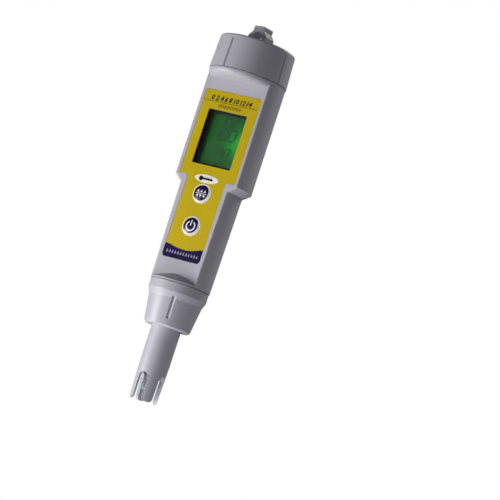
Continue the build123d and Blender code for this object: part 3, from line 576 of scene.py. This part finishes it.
def addBadge():
    shape = bmesh.new()
    addDisc(shape, badge["x"], badge["z"], badge["halfX"], badge["halfZ"], badge["segments"])
    inkPiece("badgeOval", shape, "white")
    glyph = bmesh.new()
    made = thermometer
    left = badge["x"] - made["length"] / 2
    right = left + made["length"]
    low, high = badge["z"] - made["tube"], badge["z"] + made["tube"]
    addDisc(glyph, left, badge["z"], made["bulb"], made["bulb"], made["bulbSegments"])
    addBar(glyph, left + made["bulb"] * made["neck"], low, right, high)
    addDisc(glyph, right, badge["z"], made["tube"], made["tube"], made["tubeSegments"])
    base = high + made["tickGap"]
    for index in range(made["ticks"]):
        x = left + made["length"] * (made["firstTick"] + made["tickStep"] * index)
        addBar(glyph, x, base, x + made["tickWidth"], base + made["tick"])
    inkPiece("badgeGlyph", glyph, "black", lift=inkThickness)


addBadge()

# White rings round the buttons, and the signs on their domes
ringPrint = {"inner": 4.2 * mm, "outer": 4.72 * mm}
powerGlyph = {"inner": 1.9 * mm, "outer": 2.55 * mm, "gap": 56.0, "steps": 48, "barHalf": 0.28 * mm,
              "barLow": 0.1 * mm, "barHigh": 2.9 * mm}
modeGlyph = {"ruleHalf": 3.1 * mm, "ruleThick": 0.24 * mm, "arrowHalf": 0.68 * mm,
             "arrowHigh": 1.35 * mm, "arrowGap": 0.6 * mm, "spread": 1.8 * mm}
dome = {"rise": 0.5 * mm, "radius": 4.05 * mm, "cuts": 6}
dome["curve"] = (dome["radius"] ** 2 + dome["rise"] ** 2) / (2 * dome["rise"])


def addRings():
    shape = bmesh.new()
    for z in (modeZ, powerZ):
        addRing(shape, 0, z, ringPrint["inner"], ringPrint["outer"])
    inkPiece("buttonRings", shape, "white")


def domeInk(name, shape, centreZ, crownY, body):
    # Flat ink is cut fine and follows the dome, one ink thickness above it
    bmesh.ops.triangulate(shape, faces=shape.faces)
    bmesh.ops.subdivide_edges(shape, edges=shape.edges, cuts=dome["cuts"], use_grid_fill=True)
    turnToFront(shape)
    curve = dome["curve"]
    for vert in shape.verts:
        away = math.hypot(vert.co.x, vert.co.z - centreZ)
        vert.co.y = crownY + curve - math.sqrt(curve ** 2 - away ** 2) - inkThickness
    addPiece(name, shape, body, inks["white"])


def addGlyphs():
    shape = bmesh.new()
    made = powerGlyph
    addRing(shape, 0, powerZ, made["inner"], made["outer"], made["gap"] / 2, 360.0 - made["gap"],
            made["steps"])
    addBar(shape, -made["barHalf"], powerZ + made["barLow"], made["barHalf"], powerZ + made["barHigh"])
    domeInk("powerGlyph", shape, powerZ, powerLow.y, "power_button")
    shape = bmesh.new()
    made = modeGlyph
    half = made["ruleThick"] / 2
    addBar(shape, -made["ruleHalf"], modeZ - half, made["ruleHalf"], modeZ + half)
    for side in (-1, 1):
        base = modeZ + side * made["arrowGap"]
        for x in (-made["spread"], 0, made["spread"]):
            flatFace(shape, [(x - made["arrowHalf"], base), (x + made["arrowHalf"], base),
                             (x, base + side * made["arrowHigh"])])
    domeInk("modeGlyph", shape, modeZ, modeLow.y, "mode_button")


addRings()
addGlyphs()
print("buttons printed")

# Navy band with a wavy top along the foot of the label, and a row of drops in it
band = {"half": 10.4 * mm, "bottom": labelLow.z, "corner": 1.8 * mm, "steps": 80,
        "mean": jointZ - 86.1 * mm, "swing": 0.95 * mm, "tilt": 0.2 * mm,
        "longWave": 0.9, "longTurn": 0.95, "shortWave": 0.12}
dropRow = {"count": 12, "half": 8.3 * mm, "z": jointZ - 89.1 * mm, "radius": 0.46 * mm,
           "point": 1.15 * mm, "hole": 0.02, "narrowing": 0.35, "steps": 20}


def bandTop(x):
    # High at the left edge, low right of the middle and level towards the right
    turn = x / band["half"]
    wave = band["longWave"] * math.cos(math.pi * (turn + 1.0) * band["longTurn"]) \
        + band["shortWave"] * math.cos(2 * math.pi * turn)
    return band["mean"] + band["swing"] * wave + band["tilt"] * turn


def addBand():
    shape = bmesh.new()
    turn = Matrix.Rotation(math.radians(90), 4, "X")
    bmesh.ops.create_grid(shape, x_segments=band["steps"], y_segments=1, size=1.0, matrix=turn)
    for vert in shape.verts:
        x = vert.co.x * band["half"]
        inCorner = max(abs(x) - (band["half"] - band["corner"]), 0)
        foot = band["corner"] - math.sqrt(band["corner"] ** 2 - inCorner ** 2)
        vert.co = (x, 0, bandTop(x) if vert.co.z > 0 else band["bottom"] + foot)
    inkPiece("footBand", shape, "navy")


def addDrops():
    # Small rings, each drawn up to a point
    shape = bmesh.new()
    row = dropRow
    for index in range(row["count"]):
        addRing(shape, rowPlace(row, index), row["z"], row["radius"] * row["hole"], row["radius"],
                steps=row["steps"])
    for vert in shape.verts:
        x = rowPlace(row, round((vert.co.x / row["half"] + 1) * (row["count"] - 1) / 2))
        rise = max(vert.co.z - row["z"], 0) / row["radius"]
        vert.co.z += (row["point"] - row["radius"]) * rise ** 2
        vert.co.x = x + (vert.co.x - x) * (1 - row["narrowing"] * rise)
    inkPiece("footDrops", shape, "lilac", lift=inkThickness)


addBand()
addDrops()
print("band printed")

# Digits of the display
digitSegments = {"0": "abcdef", "1": "bc", "2": "abged", "3": "abgcd", "4": "fgbc", "5": "afgcd",
                 "6": "afgcde", "7": "abc", "8": "abcdefg", "9": "abcdfg"}
readings = [
    {"text": "86", "x": -2.6 * mm, "z": jointZ - 31.6 * mm, "wide": 3.5 * mm, "high": 10.6 * mm,
     "step": 4.9 * mm, "thick": 0.85 * mm, "point": 0},
    {"text": "288", "x": -5.0 * mm, "z": jointZ - 42.9 * mm, "wide": 2.5 * mm, "high": 7.4 * mm,
     "step": 3.55 * mm, "thick": 0.62 * mm, "point": 1},
]
degreeMark = {"x": 5.9 * mm, "z": jointZ - 36.2 * mm, "inner": 0.42 * mm, "outer": 0.75 * mm, "steps": 24}
digitLook = {"slant": 0.14, "gap": 0.1 * mm, "gapShare": 0.1, "pointSegments": 16,
             "lift": 0.06 * mm, "thickness": 0.02 * mm, "color": (0.0, 0.012, 0.006),
             "glow": (0.0, 0.028, 0.006), "cloud": 500.0, "roughness": (0.3, 0.42)}


def barCorners(x0, z0, x1, z1, thick):
    # A bar with pointed ends from one corner of the digit to the next
    along = Vector((x1 - x0, z1 - z0)).normalized()
    across = Vector((-along.y, along.x)) * thick / 2
    inset = along * (digitLook["gap"] + thick * digitLook["gapShare"])
    start, end = Vector((x0, z0)) + inset, Vector((x1, z1)) - inset
    neck = along * thick / 2
    return [start, start + neck - across, end - neck - across,
            end, end - neck + across, start + neck + across]


def addDigit(shape, text, x, made):
    z, wide, thick = made["z"], made["wide"], made["thick"]
    top, middle, right = z + made["high"], z + made["high"] / 2, x + wide
    ends = {"a": (x, top, right, top), "b": (right, top, right, middle), "c": (right, middle, right, z),
            "d": (x, z, right, z), "e": (x, middle, x, z), "f": (x, top, x, middle),
            "g": (x, middle, right, middle)}
    for segment in digitSegments[text]:
        flatFace(shape, barCorners(*ends[segment], thick))


def addReadings():
    look = digitLook
    material, tree, shader = startMaterial("digitInk", {"Base Color": (*look["color"], 1),
                                                        "Emission Color": (*look["glow"], 1),
                                                        "Emission Strength": 1.0})
    tree.links.new(mapRange(tree, objectNoise(tree, look["cloud"]), *noiseSpread, *look["roughness"]),
                   shader.inputs["Roughness"])
    shear = Matrix(((1, 0, look["slant"], 0), (0, 1, 0, 0), (0, 0, 1, 0), (0, 0, 0, 1)))
    shape = bmesh.new()
    for made in readings:
        part = bmesh.new()
        for index, text in enumerate(made["text"]):
            addDigit(part, text, made["x"] + index * made["step"], made)
        pointX = made["x"] + made["point"] * made["step"] + (made["step"] + made["wide"]) / 2
        addDisc(part, pointX, made["z"], made["thick"] / 2, made["thick"] / 2, look["pointSegments"])
        toBase = Matrix.Translation((0, 0, made["z"]))
        bmesh.ops.transform(part, matrix=toBase @ shear @ toBase.inverted(), verts=part.verts)
        mergeShape(shape, part)
    addRing(shape, degreeMark["x"], degreeMark["z"], degreeMark["inner"], degreeMark["outer"],
            steps=degreeMark["steps"])
    thicken(shape, panelLow.y - look["lift"], look["thickness"])
    addPiece("displayDigits", shape, "housing", material)


addReadings()
print("display drawn")

# Pale floor under the hanging part, a little lighter to the camera than its light makes it
floorPlan = {"drop": 0.40, "size": 4.0, "color": (0.86, 0.86, 0.87), "roughness": 0.8, "glow": 0.62}


def addFloor():
    shape = bmesh.new()
    bmesh.ops.create_grid(shape, x_segments=1, y_segments=1, size=floorPlan["size"])
    bmesh.ops.translate(shape, verts=shape.verts, vec=(0, 0, tipLow.z - floorPlan["drop"]))
    material, tree, shader = startMaterial("floorPale", {"Base Color": (*floorPlan["color"], 1),
                                                         "Emission Color": (*floorPlan["color"], 1),
                                                         "Roughness": floorPlan["roughness"]})
    path = addNode(tree, "ShaderNodeLightPath")
    tree.links.new(mathNode(tree, "MULTIPLY", path.outputs["Is Camera Ray"], floorPlan["glow"]),
                   shader.inputs["Emission Strength"])
    meshObject("floor", shape, material)


# Lamps stand off the middle of the part, each in the direction toLight
studio = {
    "key": {"toLight": (-0.70, -0.63, -0.34), "distance": 0.62, "size": 0.30, "watts": 3.6,
            "color": (1.0, 0.99, 0.975)},
    "fill": {"toLight": (0.78, -0.56, 0.10), "distance": 1.4, "size": 0.9, "watts": 0.5,
             "color": (0.93, 0.95, 1.0)},
    "table": {"toLight": (-0.05, -0.42, -0.90), "distance": 0.36, "size": 0.26, "watts": 0.55,
              "color": (1.0, 1.0, 1.0)},
    "rim": {"toLight": (0.25, 0.75, 0.62), "distance": 1.1, "size": 0.35, "watts": 5.0,
            "color": (1.0, 1.0, 1.0)},
}
worldLevel = {"lighting": 0.14, "color": (0.96, 0.97, 1.0), "seen": 1.0, "backdrop": (1.0, 1.0, 1.0)}

# The camera looks at the front from the lower right, rolled as in the photograph
lens = {"focalPixels": 2422.19, "imagePixels": 500.0, "sensor": 36.0, "clip": (0.01, 20.0),
        "place": Vector((582.29, -966.62, -219.42)) * mm,
        "right": Vector((0.8425772, 0.4432008, 0.3060012)),
        "down": Vector((0.2161045, 0.2422080, -0.9458510)),
        "forward": Vector((-0.4933178, 0.8630807, 0.1083013))}


def addCamera():
    data = bpy.data.cameras.new("camera")
    data.sensor_width = lens["sensor"]
    data.lens = lens["focalPixels"] / lens["imagePixels"] * lens["sensor"]
    data.clip_start, data.clip_end = lens["clip"]
    camera = placeObject("camera", data)
    turn = Matrix((lens["right"], -lens["down"], -lens["forward"])).transposed()
    camera.matrix_world = Matrix.Translation(lens["place"]) @ turn.to_4x4()
    bpy.context.scene.camera = camera


def addLights():
    middle = Vector((0, 0, (tipLow.z + cadBox[1].z) / 2))
    for name, made in studio.items():
        data = bpy.data.lights.new(name, "AREA")
        data.shape = "DISK"
        data.size = made["size"]
        data.energy = made["watts"]
        data.color = made["color"]
        lamp = placeObject(name, data)
        toLight = Vector(made["toLight"]).normalized()
        lamp.location = middle + toLight * made["distance"]
        lamp.rotation_euler = toLight.to_track_quat("Z", "Y").to_euler()


def addWorld():
    # The camera sees the white backdrop, also through clear pieces, and all other rays the soft light
    world = bpy.data.worlds.new("studioWorld")
    bpy.context.scene.world = world
    world.use_nodes = True
    tree = world.node_tree
    tree.nodes.clear()
    path = addNode(tree, "ShaderNodeLightPath")
    bounces = mathNode(tree, "ADD", path.outputs["Diffuse Depth"], path.outputs["Glossy Depth"])
    through = mathNode(tree, "MULTIPLY", path.outputs["Is Transmission Ray"],
                       mathNode(tree, "LESS_THAN", bounces, 0.5))
    seen = mathNode(tree, "MAXIMUM", path.outputs["Is Camera Ray"], through)
    light = addNode(tree, "ShaderNodeBackground", {"Color": (*worldLevel["color"], 1),
                                                   "Strength": worldLevel["lighting"]})
    backdrop = addNode(tree, "ShaderNodeBackground", {"Color": (*worldLevel["backdrop"], 1),
                                                      "Strength": worldLevel["seen"]})
    mix = addNode(tree, "ShaderNodeMixShader", {0: seen, 1: light.outputs[0], 2: backdrop.outputs[0]})
    addNode(tree, "ShaderNodeOutputWorld", {"Surface": mix.outputs[0]})


addFloor()
addCamera()
addLights()
addWorld()
bpy.context.scene.view_settings.view_transform = "Standard"
print("studio set")
